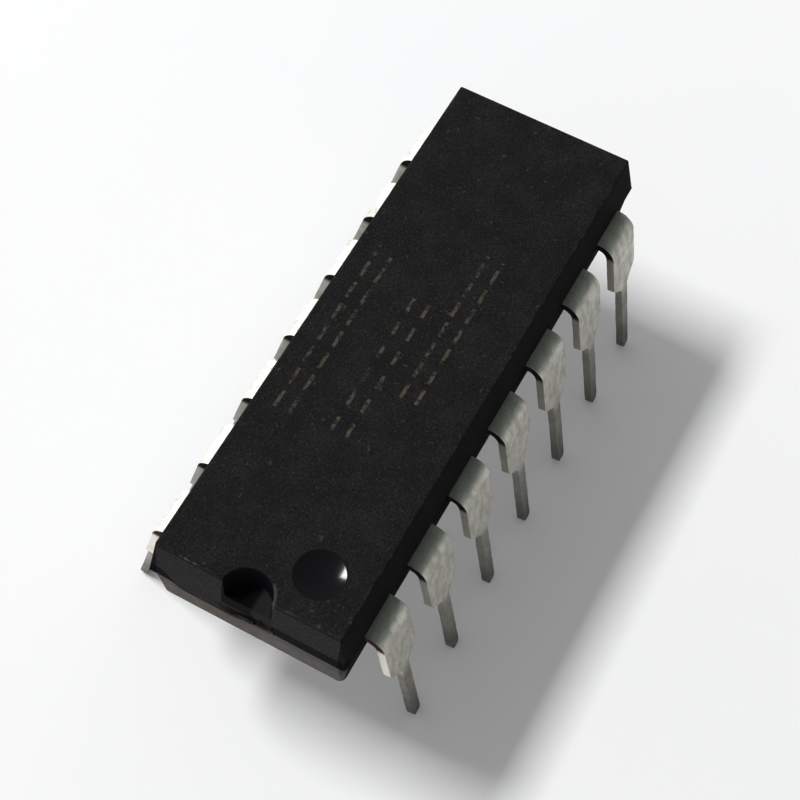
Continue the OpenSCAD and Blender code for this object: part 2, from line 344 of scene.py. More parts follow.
def lead_width(height):
    """Width of the strip at a height above the lead tips."""
    if height >= SHOULDER_END:
        return SHOULDER_WIDTH
    if height >= LEG_START:
        t = (SHOULDER_END - height) / (SHOULDER_END - LEG_START)
        return SHOULDER_WIDTH + (LEG_WIDTH - SHOULDER_WIDTH) * t * t * (3 - 2 * t)
    if height >= TIP_LENGTH:
        return LEG_WIDTH
    t = (TIP_LENGTH - max(height, 0)) / TIP_LENGTH
    return TIP_WIDTH + (LEG_WIDTH - TIP_WIDTH) * math.sqrt(max(0.0, 1 - t * t))


def draw_leg(bm, row, x, splay):
    """Bends the shoulder down over its outer radius, and draws the leg to its tip."""
    for y in ((SHOULDER_START + BEND_Y) / 2, BEND_Y):
        row = next_row(bm, row, Vector((x, y, FRAME_TOP)), ALONG_X, SHOULDER_WIDTH)
    turn = math.pi / 2 - splay
    centre = Vector((x, BEND_Y, FRAME_TOP - BEND_RADIUS))
    spun = bmesh.ops.spin(bm, geom=row["edges"], cent=centre, axis=(-1, 0, 0), dvec=(0, 0, 0),
                          angle=turn, steps=10, use_merge=False, use_normal_flip=False, use_duplicate=False)
    start = centre + Vector((0, math.sin(turn), math.cos(turn))) * BEND_RADIUS
    down = Vector((0, math.sin(splay), -math.cos(splay)))
    row = {"edges": edges_of(spun["geom_last"]), "middle": start, "across": ALONG_X, "width": SHOULDER_WIDTH}
    end_height = THICKNESS * math.sin(splay)
    height = start.z
    while height > end_height + 1e-6:
        fine = LEG_START - 0.05 < height <= SHOULDER_END + 0.05 or height < TIP_LENGTH + 0.06
        height = max(end_height, height - (FINE_STEP if fine else PLAIN_STEP))
        row = next_row(bm, row, start + down * (start.z - height) / math.cos(splay), ALONG_X, lead_width(height))


def lock_cutter(x, y):
    """Hole in a finger that the epoxy runs through."""
    bm = bmesh.new()
    bmesh.ops.create_cone(bm, cap_ends=True, segments=20, radius1=LOCK_RADIUS, radius2=LOCK_RADIUS, depth=1.0)
    bmesh.ops.translate(bm, vec=(x, y, PARTING_Z), verts=bm.verts[:])
    return bm


def bent_lead(pin):
    """One stamped, bent and plated lead, from its finger inside the body to its cut tip."""
    step, side = place(pin), -1 if pin <= ROW else 1
    x = abs(step) * PITCH
    splay = (NEAR_SPLAY if pin <= ROW else FAR_SPLAY) + random.Random(pin).uniform(-SPLAY_SPREAD, 0.0)
    bm = bmesh.new()
    ends = [bm.verts.new((x + s * SHOULDER_WIDTH / 2, SHOULDER_START, FRAME_TOP)) for s in (-1, 1)]
    bmesh.ops.subdivide_edges(bm, edges=[bm.edges.new(ends)], cuts=COLUMNS - 1)
    first = {"edges": bm.edges[:], "middle": Vector((x, SHOULDER_START, FRAME_TOP)),
             "across": ALONG_X, "width": SHOULDER_WIDTH}
    draw_finger(bm, first, abs(step))
    draw_leg(bm, first, x, splay)
    bmesh.ops.recalc_face_normals(bm, faces=bm.faces[:])
    if sum(f.normal.z for f in bm.faces if f.calc_center_median().y < SHOULDER_START) < 0:
        bmesh.ops.reverse_faces(bm, faces=bm.faces[:])
    bmesh.ops.solidify(bm, geom=bm.faces[:], thickness=THICKNESS)
    bmesh.ops.recalc_face_normals(bm, faces=bm.faces[:])
    sharp = [e for e in bm.edges if e.is_manifold and e.calc_face_angle() > math.radians(50)]
    round_edges(bm, sharp, LEAD_EDGE, 2)
    roughen(bm, pin)
    bmesh.ops.scale(bm, vec=(-1 if step < 0 else 1, side, 1), verts=bm.verts[:])
    bmesh.ops.recalc_face_normals(bm, faces=bm.faces[:])
    mark_faces(bm)
    lead = to_object(bm, f"bent_lead_{pin:02d}", 1.0)
    carve(lead, to_object(lock_cutter(step * PITCH, side * LOCK_Y), "cutter", 1.0))
    lead.data.transform(Matrix.Scale(MM, 4) @ Matrix.Translation((0, -MIDDLE_Y, 0)))
    soften(lead, 45)
    return lead


def roughen(bm, pin):
    """Uneven plating: low lumps drawn out along the lead, only where it is outside the body."""
    bm.normal_update()
    for v in bm.verts:
        free = min(1.0, max(0.0, (v.co.y - BEND_Y) / 0.1))
        if free == 0:
            continue
        wide = Vector((v.co.x * 3.2, v.co.y * 1.2, v.co.z * 1.2 + 7.3 * pin))
        small = Vector((v.co.x * 9.0, v.co.y * 4.0, v.co.z * 4.0 + 3.1 * pin))
        v.co += v.normal * free * (0.012 * noise.noise(wide) + 0.009 * noise.noise(small))


def mark_faces(bm):
    """Marks the sheared sides and the cut tip, where the bare metal shows."""
    cut = bm.faces.layers.float.new("cut")
    for f in bm.faces:
        f[cut] = 1.0 if abs(f.normal.x) > 0.30 or f.calc_center_median().z < 0.05 else 0.0


# ---- material helpers

NUMBER = "NodeSocketFloat"
VECTOR = "NodeSocketVector"


def new_tree(name):
    material = bpy.data.materials.new(name)
    material.use_nodes = True
    tree = material.node_tree
    tree.nodes.clear()
    surface = tree.nodes.new("ShaderNodeBsdfPrincipled")
    output = tree.nodes.new("ShaderNodeOutputMaterial")
    tree.links.new(surface.outputs["BSDF"], output.inputs["Surface"])
    return material, tree, surface


def feed(tree, socket, value):
    """Links a socket, or sets a plain number, colour or vector on it."""
    if isinstance(value, bpy.types.NodeSocket):
        tree.links.new(value, socket)
    else:
        socket.default_value = value


def calc(tree, operation, *values, clamp=False):
    node = tree.nodes.new("ShaderNodeMath")
    node.operation = operation
    node.use_clamp = clamp
    for socket, value in zip(node.inputs, values):
        feed(tree, socket, value)
    return node.outputs[0]


def all_of(tree, *masks):
    """Product of several masks and numbers."""
    result = masks[0]
    for mask in masks[1:]:
        result = calc(tree, "MULTIPLY", result, mask)
    return result


def all_but(tree, mask):
    """1 where the mask is 0, and 0 where it is 1."""
    return calc(tree, "SUBTRACT", 1.0, mask)


def span(tree, value):
    """Size of a value, without its sign."""
    return calc(tree, "ABSOLUTE", value)


def ramp(tree, value, low, high, to_low=0.0, to_high=1.0):
    """Smooth step from to_low to to_high as value goes from low to high."""
    node = tree.nodes.new("ShaderNodeMapRange")
    node.interpolation_type = "SMOOTHSTEP"
    settings = {"Value": value, "From Min": low, "From Max": high, "To Min": to_low, "To Max": to_high}
    for name, number in settings.items():
        feed(tree, node.inputs[name], number)
    return node.outputs["Result"]


def band(tree, value, low, high, soft):
    """Soft-edged mask that is 1 where value lies between low and high."""
    return all_of(tree, ramp(tree, value, low - soft, low + soft),
                  ramp(tree, value, high - soft, high + soft, 1.0, 0.0))


def blend(tree, mask, base, over):
    node = tree.nodes.new("ShaderNodeMix")
    node.data_type = "RGBA"
    feed(tree, node.inputs["Factor"], mask)
    feed(tree, node.inputs[6], base)
    feed(tree, node.inputs[7], over)
    return node.outputs[2]


def layers(tree, colour, *coats):
    """Lays (mask, colour) coats over a colour, one after another."""
    for mask, over in coats:
        colour = blend(tree, mask, colour, over)
    return colour


def rough_noise(tree, vector, scale, detail=3.0, roughness=0.6):
    node = tree.nodes.new("ShaderNodeTexNoise")
    feed(tree, node.inputs["Vector"], vector)
    feed(tree, node.inputs["Scale"], scale)
    node.inputs["Detail"].default_value = detail
    node.inputs["Roughness"].default_value = roughness
    return node.outputs["Fac"]


def bump(tree, surface, height, depth_mm):
    node = tree.nodes.new("ShaderNodeBump")
    node.inputs["Strength"].default_value = 1.0
    node.inputs["Distance"].default_value = depth_mm * MM
    feed(tree, node.inputs["Height"], height)
    tree.links.new(node.outputs["Normal"], surface.inputs["Normal"])


def millimetres(tree):
    """Place on the piece in millimetres, from the middle of the body."""
    where = tree.nodes.new("ShaderNodeTexCoord")
    scale = tree.nodes.new("ShaderNodeMapping")
    scale.inputs["Scale"].default_value = (1 / MM,) * 3
    scale.inputs["Location"].default_value = (0, MIDDLE_Y, 0)
    tree.links.new(where.outputs["Object"], scale.inputs["Vector"])
    return scale.outputs["Vector"]


def parts(tree, vector):
    """X, Y and Z of a vector."""
    node = tree.nodes.new("ShaderNodeSeparateXYZ")
    feed(tree, node.inputs["Vector"], vector)
    return node.outputs["X"], node.outputs["Y"], node.outputs["Z"]


def new_group(name, inputs, outputs):
    group = bpy.data.node_groups.new(name, "ShaderNodeTree")
    for label, kind, default in inputs:
        socket = group.interface.new_socket(name=label, in_out="INPUT", socket_type=kind)
        if default is not None:
            socket.default_value = default
    for label in outputs:
        group.interface.new_socket(name=label, in_out="OUTPUT", socket_type=NUMBER)
    return group, group.nodes.new("NodeGroupInput").outputs, group.nodes.new("NodeGroupOutput").inputs


def use(tree, group, **values):
    """Places a node group with its own values. Input names are given with _ for each space."""
    node = tree.nodes.new("ShaderNodeGroup")
    node.node_tree = group
    for name, value in values.items():
        feed(tree, node.inputs[name.replace("_", " ")], value)
    return node.outputs


# ---- shared effects


def specks_group():
    """Small separate specks, such as filler in epoxy or dust on a surface."""
    group, given, result = new_group("specks", [
        ("Position", VECTOR, None), ("Scale", NUMBER, 12.0), ("Cover", NUMBER, 0.2), ("Softness", NUMBER, 0.05)],
        ["Mask"])
    grain = rough_noise(group, given["Position"], given["Scale"], 2.0)
    level = calc(group, "SUBTRACT", 0.75, calc(group, "MULTIPLY", given["Cover"], 0.5))
    top = calc(group, "ADD", level, given["Softness"])
    feed(group, result["Mask"], ramp(group, grain, level, top))
    return group


def streaks_group():
    """Fine streaks drawn out along one direction, such as rolling or plating marks."""
    group, given, result = new_group("streaks", [
        ("Position", VECTOR, None), ("Stretch", VECTOR, (12.0, 1.5, 1.5)),
        ("Low", NUMBER, 0.35), ("High", NUMBER, 0.65)], ["Mask", "Height"])
    node = group.nodes.new("ShaderNodeVectorMath")
    node.operation = "MULTIPLY"
    feed(group, node.inputs[0], given["Position"])
    feed(group, node.inputs[1], given["Stretch"])
    lines = rough_noise(group, node.outputs["Vector"], 1.0, 4.0)
    feed(group, result["Mask"], ramp(group, lines, given["Low"], given["High"]))
    feed(group, result["Height"], lines)
    return group


def patches_group():
    """Soft uneven patches, such as tarnish, handling marks or flow in a moulding."""
    group, given, result = new_group("patches", [
        ("Position", VECTOR, None), ("Scale", NUMBER, 1.0), ("Low", NUMBER, 0.4), ("High", NUMBER, 0.6)],
        ["Mask"])
    cloud = rough_noise(group, given["Position"], given["Scale"], 5.0, 0.62)
    feed(group, result["Mask"], ramp(group, cloud, given["Low"], given["High"]))
    return group


def round_spot_group():
    """Disc around a point of the plan."""
    group, given, result = new_group("round_spot", [
        ("Position", VECTOR, None), ("Centre X", NUMBER, 0.0), ("Centre Y", NUMBER, 0.0),
        ("Radius", NUMBER, 1.0)], ["Mask", "Distance"])
    x, y, _ = parts(group, given["Position"])
    dx = calc(group, "SUBTRACT", x, given["Centre X"])
    dy = calc(group, "SUBTRACT", y, given["Centre Y"])
    reach = calc(group, "SQRT", calc(group, "ADD", all_of(group, dx, dx), all_of(group, dy, dy)))
    feed(group, result["Mask"], calc(group, "LESS_THAN", reach, given["Radius"]))
    feed(group, result["Distance"], reach)
    return group


def dash_row_group():
    """Row of short printed dashes in two lines, from one X to another."""
    group, given, result = new_group("dash_row", [
        ("Position", VECTOR, None), ("Middle", NUMBER, 0.0), ("Start", NUMBER, -3.0), ("End", NUMBER, 3.0),
        ("Pitch", NUMBER, 0.80), ("Dash", NUMBER, 0.52), ("Gap", NUMBER, 0.56), ("Stroke", NUMBER, 0.16)],
        ["Mask"])
    x, y, _ = parts(group, given["Position"])
    cell = calc(group, "FLOORED_MODULO", calc(group, "SUBTRACT", x, given["Start"]), given["Pitch"])
    dash = calc(group, "LESS_THAN", cell, given["Dash"])
    after_start = calc(group, "GREATER_THAN", x, given["Start"])
    before_end = calc(group, "LESS_THAN", x, given["End"])
    off = span(group, calc(group, "SUBTRACT", y, given["Middle"]))
    line = span(group, calc(group, "SUBTRACT", off, calc(group, "MULTIPLY", given["Gap"], 0.5)))
    stroke = calc(group, "LESS_THAN", line, calc(group, "MULTIPLY", given["Stroke"], 0.5))
    feed(group, result["Mask"], all_of(group, dash, after_start, before_end, stroke))
    return group


def block_edge_group():
    """Closeness to the edges of the drafted body: 1 on an edge and 0 at the given reach from it."""
    group, given, result = new_group("block_edge", [
        ("Position", VECTOR, None), ("Half Length", NUMBER, 9.5), ("Half Width", NUMBER, 3.2),
        ("Draft", NUMBER, 0.15), ("Middle", NUMBER, 6.0), ("Top", NUMBER, 1.6), ("Bottom", NUMBER, 1.4),
        ("Reach", NUMBER, 0.15)], ["Mask"])
    x, y, z = parts(group, given["Position"])
    level = calc(group, "SUBTRACT", z, given["Middle"])
    inset = all_of(group, span(group, level), given["Draft"])
    end = calc(group, "SUBTRACT", calc(group, "SUBTRACT", given["Half Length"], inset), span(group, x))
    wall = calc(group, "SUBTRACT", calc(group, "SUBTRACT", given["Half Width"], inset), span(group, y))
    face = calc(group, "MINIMUM", calc(group, "SUBTRACT", given["Top"], level),
                calc(group, "ADD", given["Bottom"], level))
    nearest = calc(group, "MINIMUM", end, wall)
    farther = calc(group, "MAXIMUM", end, wall)
    second = calc(group, "MAXIMUM", nearest, calc(group, "MINIMUM", farther, face))
    feed(group, result["Mask"], ramp(group, second, 0.0, given["Reach"], 1.0, 0.0))
    return group


SPECKS = specks_group()
STREAKS = streaks_group()
PATCHES = patches_group()
ROUND_SPOT = round_spot_group()
DASH_ROW = dash_row_group()
BLOCK_EDGE = block_edge_group()


def patches(tree, place_mm, scale, low, high):
    return use(tree, PATCHES, Position=place_mm, Scale=scale, Low=low, High=high)["Mask"]


def specks(tree, place_mm, scale, cover, softness):
    return use(tree, SPECKS, Position=place_mm, Scale=scale, Cover=cover, Softness=softness)["Mask"]


# ---- moulded epoxy

# middle, start, end, pitch and length of the dashes in each printed row
PRINTED_ROWS = ((2.06, -3.86, 2.34, 0.86, 0.60),
                (0.22, -3.75, 1.7, 0.93, 0.50),
                (-1.04, -1.82, 3.85, 0.80, 0.56))


def wall_masks(tree, place_mm):
    """End walls and long walls, which carry painted light and shade, the notched end, the painted dark line of
    shade under the rim and the rubbed edges.
    """
    x, y, z = parts(tree, place_mm)
    below_rim = ramp(tree, z, TOP_Z - 0.01, TOP_Z - 0.05)
    # painted shade: a dark band just under the rim of the top face
    rim = band(tree, z, TOP_Z - 0.15, TOP_Z - 0.045, 0.025)
    edge = use(tree, BLOCK_EDGE, Position=place_mm, Half_Length=HALF_LENGTH, Half_Width=HALF_WIDTH, Draft=DRAFT,
               Middle=PARTING_Z, Top=TOP_HEIGHT, Bottom=BOTTOM_HEIGHT, Reach=0.10)["Mask"]
    return {
        "end": all_of(tree, ramp(tree, span(tree, x), HALF_LENGTH - 0.29, HALF_LENGTH - 0.24), below_rim),
        "long": all_of(tree, ramp(tree, span(tree, y), HALF_WIDTH - 0.29, HALF_WIDTH - 0.24), below_rim),
        "notched end": ramp(tree, x, -HALF_LENGTH + 0.32, -HALF_LENGTH + 0.26),
        "rim": rim,
        "rubbed": all_of(tree, edge, patches(tree, place_mm, 2.6, 0.50, 0.74), all_but(tree, rim), 0.40)}


def scrape_mask(tree, place_mm):
    """Broken scrape along the rim of the notched end."""
    x, y, z = parts(tree, place_mm)
    cover = ramp(tree, rough_noise(tree, place_mm, 9.0), 0.42, 0.62, 0.1, 1.0)
    return all_of(tree, band(tree, x, -HALF_LENGTH + 0.165, -HALF_LENGTH + 0.265, 0.02),
                  band(tree, y, 1.55, 2.20, 0.08), ramp(tree, z, TOP_Z - 0.06, TOP_Z - 0.04), cover)


def lower_wall(tree, place_mm, notched_end):
    """Scuffed brown lower wall of the notched end, partly a painted reflection of the bright floor, and the dark
    parting line, a painted shadow under the mould step, that dips beside the gate.
    """
    _, y, z = parts(tree, place_mm)
    dip = band(tree, y, 0.1, 2.45, 0.6)
    top = calc(tree, "SUBTRACT", PARTING_Z - 0.03, calc(tree, "MULTIPLY", dip, 0.46))
    strip = all_of(tree, notched_end, ramp(tree, z, top, calc(tree, "SUBTRACT", top, 0.08)))
    scuff = patches(tree, place_mm, 3.2, 0.30, 0.70)
    # scuffs and painted reflection: the strip is paler than the epoxy, paler towards -Y and darker towards the
    # parting line
    colour = layers(tree, (0.056, 0.045, 0.034, 1),
                    (ramp(tree, y, 0.4, -1.6), (0.070, 0.059, 0.063, 1)),
                    (calc(tree, "MULTIPLY", scuff, 0.45), (0.030, 0.025, 0.022, 1)),
                    (ramp(tree, z, PARTING_Z - 0.90, PARTING_Z - 0.35, 0.0, 0.60), (0.028, 0.025, 0.026, 1)))
    # painted shadow: a dark line under the mould step at the parting line
    painted_shadow_half = ramp(tree, dip, 0.0, 1.0, 0.18, 0.12)
    painted_shadow_z = ramp(tree, dip, 0.0, 1.0, PARTING_Z + 0.17, PARTING_Z - 0.38)
    off_painted_shadow = span(tree, calc(tree, "SUBTRACT", z, painted_shadow_z))
    line = all_but(tree, ramp(tree, off_painted_shadow, painted_shadow_half, calc(tree, "ADD", painted_shadow_half, 0.08)))
    return {"strip": strip, "scuff": scuff, "colour": colour, "line": line}


def worn_print(tree, place_mm):
    """Rows of faded generic dashes on the top face."""
    _, _, z = parts(tree, place_mm)
    marks = None
    for middle, start, end, pitch, dash in PRINTED_ROWS:
        row = use(tree, DASH_ROW, Position=place_mm, Middle=middle, Start=start, End=end, Pitch=pitch, Dash=dash,
                  Gap=0.50, Stroke=0.11)["Mask"]
        marks = row if marks is None else calc(tree, "MAXIMUM", marks, row)
    faded = ramp(tree, rough_noise(tree, place_mm, 7.0, roughness=0.65), 0.38, 0.60, 0.05, 0.75)
    return all_of(tree, marks, ramp(tree, z, TOP_Z - 0.03, TOP_Z - 0.01), faded)


def recess_masks(tree, place_mm):
    """Wall of the notch and bowl of the dimple, painted dark as shade, floor of the notch with a painted shadow,
    and the lip of the notch with a painted highlight.
    """
    _, y, z = parts(tree, place_mm)
    notch = use(tree, ROUND_SPOT, Position=place_mm, Centre_X=NOTCH_X, Centre_Y=0.0, Radius=NOTCH_RADIUS + 0.02)
    dimple = use(tree, ROUND_SPOT, Position=place_mm, Centre_X=DIMPLE_AT[0], Centre_Y=DIMPLE_AT[1],
                 Radius=DIMPLE_RADIUS + 0.01)
    return {
        # painted shade: the wall of the notch and the bowl of the dimple are painted near black
        "wall": all_of(tree, notch["Mask"], band(tree, z, NOTCH_FLOOR_Z + 0.03, TOP_Z - 0.03, 0.01)),
        "floor": all_of(tree, notch["Mask"], ramp(tree, z, NOTCH_FLOOR_Z + 0.05, NOTCH_FLOOR_Z + 0.03),
                        ramp(tree, z, PARTING_Z + 0.30, PARTING_Z + 0.34)),
        # painted shadow: dark where the notch wall shades the floor from the lamp, paler where the lamp reaches
        "floor painted shadow": blend(tree, ramp(tree, y, -0.08, -0.26), (0.0020, 0.0021, 0.0028, 1),
                              (0.0150, 0.0133, 0.0138, 1)),
        # painted highlight on the -Y rim of the notch
        "lip": all_of(tree, band(tree, notch["Distance"], NOTCH_RADIUS - 0.01, NOTCH_RADIUS + 0.09, 0.02),
                      ramp(tree, y, -0.50, -0.62), ramp(tree, z, TOP_Z - 0.30, TOP_Z - 0.20), 0.8),
        "bowl": all_of(tree, dimple["Mask"], ramp(tree, z, TOP_Z - 0.002, TOP_Z - 0.006),
                       ramp(tree, z, TOP_Z - 0.4, TOP_Z - 0.3))}


def broken_gate(tree, place_mm, notched_end):
    """Ragged dark break of the gate, reddish at both ends."""
    _, y, z = parts(tree, place_mm)
    ragged = calc(tree, "MULTIPLY", calc(tree, "SUBTRACT", rough_noise(tree, place_mm, 3.5), 0.5), 0.40)
    rise = calc(tree, "SUBTRACT", calc(tree, "ADD", z, ragged), PARTING_Z)
    under_top = calc(tree, "SUBTRACT", rise, ramp(tree, y, 0.7, -0.3, 0.16, 0.36))
    gate = all_of(tree, band(tree, calc(tree, "ADD", y, ragged), -GATE_SIZE[1] / 2, GATE_SIZE[1] / 2, 0.06),
                  notched_end, ramp(tree, rise, -0.34, -0.28), ramp(tree, under_top, 0.05, -0.03))
    rust = all_of(tree, patches(tree, place_mm, 4.0, 0.40, 0.58),
                  ramp(tree, span(tree, y), 0.50, 0.72, 0.10, 1.0))
    return gate, blend(tree, rust, (0.0030, 0.0026, 0.0025, 1), (0.022, 0.0125, 0.0105, 1))


def black_epoxy():
    """Moulded black epoxy with pale filler, rubbed edges, a polished dimple and lower strip and a faint generic
    marking, with painted light and shade: paler end walls, darker long walls, dark lines under the rim and at
    the parting, dark recesses with a painted shadow and highlight, and a lower strip partly lightened as a
    painted reflection.
    """
    material, tree, surface = new_tree("black_epoxy")
    place_mm = millimetres(tree)
    grain = rough_noise(tree, place_mm, 20.0, 2.0, 0.7)
    filler = specks(tree, place_mm, 13.0, 0.34, 0.10)
    coarse = specks(tree, place_mm, 4.5, 0.14, 0.06)
    wall = wall_masks(tree, place_mm)
    lower = lower_wall(tree, place_mm, wall["notched end"])
    recess = recess_masks(tree, place_mm)
    gate, gate_colour = broken_gate(tree, place_mm, wall["notched end"])
    colour = layers(
        tree, (0.0105, 0.0102, 0.0110, 1),
        (patches(tree, place_mm, 0.9, 0.35, 0.68), (0.0160, 0.0152, 0.0152, 1)),
        # painted light: the end walls are painted paler, as if lit from the end
        (calc(tree, "MULTIPLY", wall["end"], 0.7), (0.0245, 0.0236, 0.0270, 1)),
        (ramp(tree, grain, 0.55, 0.30), (0.0045, 0.0044, 0.0050, 1)),
        (calc(tree, "MULTIPLY", filler, 0.42), (0.052, 0.045, 0.037, 1)),
        (calc(tree, "MULTIPLY", coarse, 0.36), (0.074, 0.068, 0.058, 1)),
        # painted shade: the long walls are painted darker
        (calc(tree, "MULTIPLY", wall["long"], 0.75), (0.0030, 0.0029, 0.0036, 1)),
        # painted shade: the dark line under the rim
        (calc(tree, "MULTIPLY", wall["rim"], 0.80), (0.0040, 0.0038, 0.0044, 1)),
        (wall["rubbed"], (0.085, 0.078, 0.070, 1)),
        (scrape_mask(tree, place_mm), (0.070, 0.066, 0.062, 1)),
        # scuffed lower strip, partly a painted reflection of the floor
        (calc(tree, "MULTIPLY", lower["strip"], 0.90), lower["colour"]),
        # painted shadow line at the parting
        (all_of(tree, lower["line"], wall["notched end"], 0.92), (0.0015, 0.0014, 0.0018, 1)),
        (worn_print(tree, place_mm), (0.088, 0.074, 0.054, 1)),
        # painted highlight on the lip of the notch
        (recess["lip"], (0.046, 0.045, 0.040, 1)),
        # painted shadow on the notch floor
        (recess["floor"], recess["floor painted shadow"]),
        # painted shade in the notch wall and the dimple bowl
        (calc(tree, "MAXIMUM", recess["wall"], recess["bowl"]), (0.0022, 0.0024, 0.0034, 1)),
        (gate, gate_colour))
    feed(tree, surface.inputs["Base Color"], colour)
    dull = calc(tree, "MULTIPLY", calc(tree, "MAXIMUM", gate, wall["long"]), 0.2)
    rough = calc(tree, "ADD", ramp(tree, filler, 0.0, 1.0, 0.66, 0.82), dull, clamp=True)
    feed(tree, surface.inputs["Roughness"], rough)
    surface.inputs["Specular IOR Level"].default_value = 0.03
    strip_polish = all_of(tree, lower["strip"], all_but(tree, lower["line"]),
                          ramp(tree, lower["scuff"], 0.0, 1.0, 0.16, 0.08))
    polish = calc(tree, "MAXIMUM", calc(tree, "MULTIPLY", recess["bowl"], 0.5), strip_polish)
    feed(tree, surface.inputs["Coat Weight"], polish)
    surface.inputs["Coat Roughness"].default_value = 0.12
    height = all_of(tree, calc(tree, "ADD", grain, calc(tree, "MULTIPLY", coarse, 0.6)),
                    all_but(tree, recess["bowl"]))
    bump(tree, surface, height, 0.012)
    return material


# ---- metals, silicon and paper


def tin_plate():
    """Dull tin plate on a copper alloy strip: pale streaked faces, bare sheared sides, grey-brown legs, with
    painted shade on the near row, its roots and the shoulder sides, and a painted highlight on the side of the
    first lead.
    """
    material, tree, surface = new_tree("tin_plate")
    place_mm = millimetres(tree)
    x, y, z = parts(tree, place_mm)
    streak = use(tree, STREAKS, Position=place_mm, Stretch=(3.8, 1.5, 1.5), Low=0.25, High=0.75)
    fine = use(tree, STREAKS, Position=place_mm, Stretch=(3.0, 11.0, 11.0), Low=0.35, High=0.65)
    tarnish = patches(tree, place_mm, 2.2, 0.46, 0.68)
    pits = specks(tree, place_mm, 8.0, 0.30, 0.08)
    cut = tree.nodes.new("ShaderNodeAttribute")
    cut.attribute_name = "cut"
    bare = cut.outputs["Fac"]
    near_row = ramp(tree, y, 0.1, -0.1)
    leg = ramp(tree, z, LEG_START + 0.35, LEG_START - 0.45)
    tip = ramp(tree, z, 2.2, 0.2)
    # painted shade: the roots of the near row lie in the shadow of the body
    root = all_of(tree, ramp(tree, z, PARTING_Z - 0.22, PARTING_Z - 0.02),
                  ramp(tree, span(tree, y), HALF_WIDTH + 0.62, HALF_WIDTH + 0.38))
    # painted shade on the sheared sides of the shoulders near the body, which also get a dull, non-metallic
    # finish
    shoulder_side_shade = all_of(tree, bare, ramp(tree, z, PARTING_Z - 0.55, PARTING_Z - 0.30))
    # painted shade: darker tones for the near row, on the side away from the lamp
    near_row_painted_shade = blend(tree, streak["Mask"], (0.27, 0.265, 0.22, 1), (0.46, 0.455, 0.405, 1))
    # painted highlight: the side of the first lead is painted palest, and the painted shade on its shoulder
    # sides has a rusty tint
    sheared = blend(tree, ramp(tree, x, -7.4, -8.0), (0.24, 0.23, 0.19, 1), (0.86, 0.82, 0.74, 1))
    shoulder_side_shade_colour = blend(tree, ramp(tree, x, -7.6, -8.0), (0.004, 0.0035, 0.0035, 1), (0.040, 0.014, 0.012, 1))
    colour = layers(
        tree, (0.56, 0.54, 0.48, 1),
        (streak["Mask"], (0.88, 0.87, 0.83, 1)),
        (calc(tree, "MULTIPLY", fine["Mask"], 0.25), (0.95, 0.94, 0.91, 1)),
        # painted shade on the near row
        (calc(tree, "MULTIPLY", near_row, 0.85), near_row_painted_shade),
        (calc(tree, "MULTIPLY", tarnish, 0.35), (0.30, 0.29, 0.23, 1)),
        (calc(tree, "MULTIPLY", pits, 0.45), (0.25, 0.23, 0.19, 1)),
        # painted shade on the roots of the near row
        (all_of(tree, root, near_row, 0.88), (0.180, 0.205, 0.170, 1)),
        (calc(tree, "MULTIPLY", leg, 0.78), (0.160, 0.151, 0.131, 1)),
        (calc(tree, "MULTIPLY", tip, 0.72), (0.062, 0.058, 0.050, 1)),
        (all_of(tree, bare, all_but(tree, leg), 0.75), sheared),
        (shoulder_side_shade, shoulder_side_shade_colour))
    feed(tree, surface.inputs["Base Color"], colour)
    feed(tree, surface.inputs["Metallic"], calc(tree, "SUBTRACT", 0.72, shoulder_side_shade, clamp=True))
    rough = ramp(tree, streak["Mask"], 0.0, 1.0, 0.54, 0.42)
    rough = calc(tree, "ADD", rough, calc(tree, "MULTIPLY", tarnish, 0.12))
    rough = calc(tree, "ADD", rough, calc(tree, "MULTIPLY", shoulder_side_shade, 0.5), clamp=True)
    feed(tree, surface.inputs["Roughness"], rough)
    surface.inputs["Specular IOR Level"].default_value = 0.15
    lumps = rough_noise(tree, place_mm, 4.0)
    height = calc(tree, "ADD", calc(tree, "MULTIPLY", streak["Height"], 0.8), calc(tree, "MULTIPLY", lumps, 0.5))
    height = calc(tree, "ADD", height, calc(tree, "MULTIPLY", fine["Height"], 0.3))
    bump(tree, surface, height, 0.032)
    return material


def copper_alloy():
    """Bare copper alloy of the die pad, nearly black where the sheared tie bars come out at the end walls."""
    material, tree, surface = new_tree("copper_alloy")
    place_mm = millimetres(tree)
    x, _, z = parts(tree, place_mm)
    lines = use(tree, STREAKS, Position=place_mm, Stretch=(2.0, 14.0, 2.0), Low=0.35, High=0.65)
    dull = patches(tree, place_mm, 2.5, 0.45, 0.7)
    sheared = ramp(tree, span(tree, x), HALF_LENGTH - 0.20, HALF_LENGTH - 0.10)
    end_face = layers(tree, (0.0045, 0.0038, 0.0035, 1),
                      (ramp(tree, z, PARTING_Z - 0.05, PARTING_Z - 0.09), (0.0065, 0.0055, 0.0048, 1)),
                      (calc(tree, "MULTIPLY", lines["Mask"], 0.5), (0.018, 0.011, 0.009, 1)))
    colour = layers(tree, (0.62, 0.34, 0.20, 1),
                    (lines["Mask"], (0.78, 0.50, 0.34, 1)),
                    (calc(tree, "MULTIPLY", dull, 0.3), (0.31, 0.17, 0.10, 1)),
                    (sheared, end_face))
    feed(tree, surface.inputs["Base Color"], colour)
    feed(tree, surface.inputs["Metallic"], all_but(tree, sheared))
    rough = calc(tree, "ADD", ramp(tree, dull, 0.0, 1.0, 0.30, 0.45), calc(tree, "MULTIPLY", sheared, 0.4))
    feed(tree, surface.inputs["Roughness"], rough)
    surface.inputs["Specular IOR Level"].default_value = 0.05
    bump(tree, surface, lines["Height"], 0.006)
    return material


